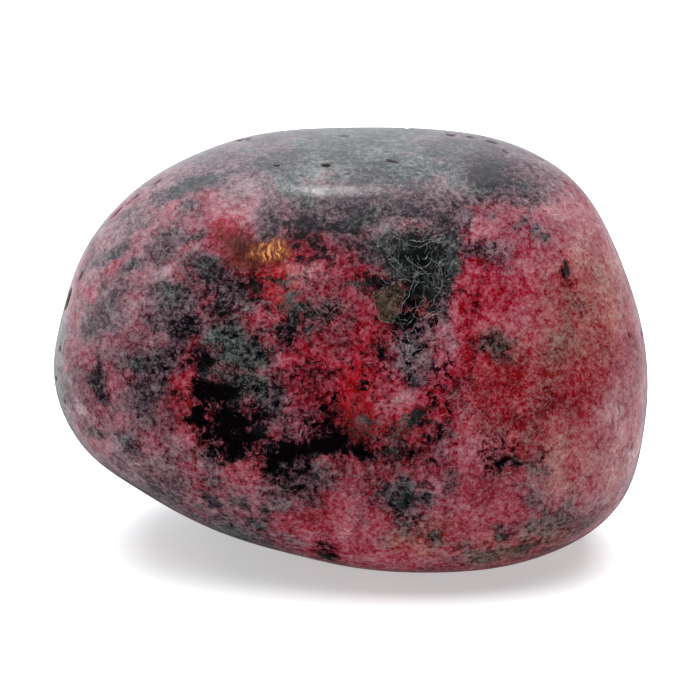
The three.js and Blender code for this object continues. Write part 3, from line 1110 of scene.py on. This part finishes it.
def with_olive(shader, grain, colour):
    """The straight-sided olive crystal and its pale rim."""
    inside = shader.total(shader.attribute("olive"), shader.swing(grain.mottle["halo"], OLIVE_RAGGED))
    tone = shader.blend(*OLIVE_TONE, grain.parts)
    colour = shader.mix(shader.rise(inside, *OLIVE_EDGE), colour, shader.ramp(tone, OLIVE_COLOURS))
    rim = shader.flipped(shader.rise(shader.math("ABSOLUTE", inside), *OLIVE_RIM))
    broken = shader.product(rim, shader.rise(grain.mottle["dusk"], *RIM_BROKEN))
    return shader.mix(broken, colour, NEEDLE_COLOUR)


def with_needles(shader, grain, colour):
    """Nests of pale needles."""
    web = shader.product(
        shader.tangle(grain.bent, grain.normal, NEEDLE_WEB),
        grain.parts["needles"],
        shader.rise(grain.mottle["dusk"], *NEEDLE_BROKEN),
        NEEDLE_STRENGTH,
    )
    return shader.mix(web, colour, NEEDLE_COLOUR)


def with_specks_and_painted_glints(shader, grain, colour):
    """Tiny pale specks here and there: partly fine pale grains of the stone, partly painted glints that stand
    in for sparkles of light.
    """
    speck = shader.flipped(shader.rise(shader.cells(grain.place, GLINT_CELLS)["Distance"], *GLINT_EDGE))
    sparse = shader.rise(shader.noise(grain.place, *GLINT_NOISE), *GLINT_SPARSE)
    return shader.mix(shader.product(speck, sparse), colour, SPECK_AND_PAINTED_GLINT_COLOUR)


def polish(shader, grain, colour, pit):
    """The polished surface, which is dull in the pits."""
    roughness = shader.total(ROUGHNESS, shader.swing(grain.mottle["dusk"], ROUGHNESS_SWING), pit)
    bump = shader.node("ShaderNodeBump", {
        "Strength": BUMP_STRENGTH,
        "Distance": BUMP_HEIGHT * MM,
        "Height": shader.noise(grain.place, *BUMP_NOISE),
    })
    surface = shader.node("ShaderNodeBsdfPrincipled", {
        "Base Color": colour,
        "Roughness": roughness,
        "IOR": REFRACTION,
        "Normal": bump.outputs[0],
    })
    output = shader.node("ShaderNodeOutputMaterial", {"Surface": surface.outputs[0]})
    output.is_active_output = True


def rhodonite():
    material = bpy.data.materials.new("polished_rhodonite")
    material.use_nodes = True
    material.node_tree.nodes.clear()
    shader = Shader(material.node_tree)
    grain = Grain(shader)
    tone = shader.blend(*TONE, grain.parts)
    colour = rock_colour(shader, grain, tone)
    colour = with_flakes(shader, grain, colour)
    colour = with_frost(shader, grain, tone, colour)
    for layer in (with_amber, with_olive, with_needles, with_specks_and_painted_glints):
        colour = layer(shader, grain, colour)
    pit = shader.rise(shader.attribute("pit"), *PIT_EDGE)
    polish(shader, grain, shader.mix(pit, colour, PIT_COLOUR), pit)
    return material


def mineral_fields(stone_tree, points, strewn):
    """How much of each mineral and stain there is at each point."""
    shaken = roughened(points)
    fields = {"olive": crystal_face(stone_tree, points, OLIVE_CORNERS)}
    for tables, spread in ((BODIES, cover), (STAINS, tint)):
        for name, places in tables.items():
            spots = [seen_spot(stone_tree, *place) for place in places.values()] + strewn.get(name, [])
            fields[name] = spread(shaken, spots)
    return fields


def make_stone():
    points, triangles = dense_stone(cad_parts["stone"])
    smooth_tree = tree_of(points, triangles)
    normals = normals_of(points, triangles)
    chance = np.random.default_rng(STREWN_SEED)
    strewn = {name: strewn_spots(points, normals, chance, *amount) for name, amount in STREWN.items()}
    for pit in strewn["pits"]:
        pit.half_width = min(pit.half_width, STREWN_PIT_WIDEST / 2)
    pits = [seen_spot(smooth_tree, *place, turn=turn) for *place, turn in PITS.values()] + strewn["pits"]
    points, triangles = refined(points, triangles, pits)
    carved, sunk = carve_pits(points, normals_of(points, triangles), pits)
    fields = {"pit": sunk, **mineral_fields(smooth_tree, points, strewn)}
    mesh = bpy.data.meshes.new("polished_stone")
    mesh.from_pydata((carved * MM).tolist(), [], triangles.tolist())
    mesh.polygons.foreach_set("use_smooth", np.ones(len(mesh.polygons), bool))
    for name, values in fields.items():
        mesh.attributes.new(name, "FLOAT", "POINT").data.foreach_set("value", values.astype(np.float32))
    mesh.materials.append(rhodonite())
    piece = bpy.data.objects.new("polished_stone", mesh)
    bpy.context.scene.collection.objects.link(piece)
    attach(piece, "root")
    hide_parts("stone")


# The stage, in metres and watts.
FLOOR_HALF = 4.0
FLOOR_LOOK = {
    "Base Color": (0.8, 0.8, 0.8, 1),
    "Roughness": 0.7,
    "Specular IOR Level": 0.1,
    "Emission Color": (1, 1, 1, 1),
    "Emission Strength": 0.45,
}
PANELS = {
    "overhead": {"width": 0.9, "depth": 0.8, "watts": 11.0, "place": (0, 0, 0.7), "mirrored": False},
    "sheen": {"width": 0.022, "depth": 0.14, "watts": 0.16, "place": (-0.03, 0.08, 0.55), "mirrored": True},
}
CLIP_START = 0.01
CLIP_END = 20

# The surroundings that the polish mirrors. A glow has a brightness and fades. A fade is the two values, of
# how far a direction points right, back, up or to either side, between which the glow appears.
GLOWS = {
    "behind": (0.9, {"back": (-0.55, 0.65), "up": (-0.5, 0.0)}),
    "behind, shaded on the right": (-0.45, {"back": (-0.55, 0.65), "up": (-0.5, 0.0), "right": (0.0, 0.35)}),
    "left": (0.5, {"right": (-0.55, -0.95), "up": (-0.05, 0.35)}),
    "low": (0.08, {"back": (0.3, 0.8), "up": (0.15, -0.35)}),
    "low, at both sides": (0.7, {"back": (0.3, 0.8), "up": (0.15, -0.35), "side": (0.15, 0.6)}),
    "above": (0.4, {"up": (0.5, 0.9), "right": (0.5, 0.0)}),
}
GLOOM = 0.003  # the light of the darkest surroundings
SKY_COLOUR = (0.96, 0.99, 1.05, 1)


def make_floor():
    corners = [(x * FLOOR_HALF, y * FLOOR_HALF, 0) for x, y in ((-1, -1), (1, -1), (1, 1), (-1, 1))]
    mesh = bpy.data.meshes.new("floor")
    mesh.from_pydata(corners, [], [(0, 1, 2, 3)])
    material = bpy.data.materials.new("pale_floor")
    material.use_nodes = True
    for name, value in FLOOR_LOOK.items():
        material.node_tree.nodes["Principled BSDF"].inputs[name].default_value = value
    mesh.materials.append(material)
    floor = bpy.data.objects.new("floor", mesh)
    floor.visible_glossy = False
    bpy.context.scene.collection.objects.link(floor)


def add_panel(name, width, depth, watts, place, mirrored):
    """A soft light that shines straight down."""
    light = bpy.data.lights.new(name, "AREA")
    light.shape = "RECTANGLE"
    light.size = width
    light.size_y = depth
    light.energy = watts
    panel = bpy.data.objects.new(name, light)
    panel.location = place
    panel.visible_glossy = mirrored
    bpy.context.scene.collection.objects.link(panel)


def make_surroundings():
    """Surroundings that are dark towards the front and pale elsewhere."""
    world = bpy.data.worlds.new("surroundings")
    bpy.context.scene.world = world
    world.use_nodes = True
    shader = Shader(world.node_tree)
    way = shader.node("ShaderNodeTexCoord").outputs["Generated"]
    right, back, up = shader.node("ShaderNodeSeparateXYZ", {0: way}).outputs
    pointing = {"right": right, "back": back, "up": up, "side": shader.math("ABSOLUTE", right)}
    level = GLOOM
    for brightness, fades in GLOWS.values():
        seen = (shader.rise(pointing[name], *fade) for name, fade in fades.items())
        level = shader.total(level, shader.product(brightness, *seen))
    background = world.node_tree.nodes["Background"]
    shader.put(level, background.inputs["Strength"])
    shader.put(SKY_COLOUR, background.inputs["Color"])


def make_camera():
    data = bpy.data.cameras.new("camera")
    data.lens = LENS
    data.sensor_width = SENSOR
    data.clip_start = CLIP_START
    data.clip_end = CLIP_END
    camera = bpy.data.objects.new("camera", data)
    camera.location = (HEART + OUT * DISTANCE) * MM
    camera.rotation_euler = Vector(-OUT).to_track_quat("-Z", "Y").to_euler()
    bpy.context.scene.collection.objects.link(camera)
    bpy.context.scene.camera = camera


make_camera()
make_stone()
make_floor()
for panel_name, panel_values in PANELS.items():
    add_panel(panel_name, **panel_values)
make_surroundings()
bpy.context.scene.view_settings.view_transform = "Standard"
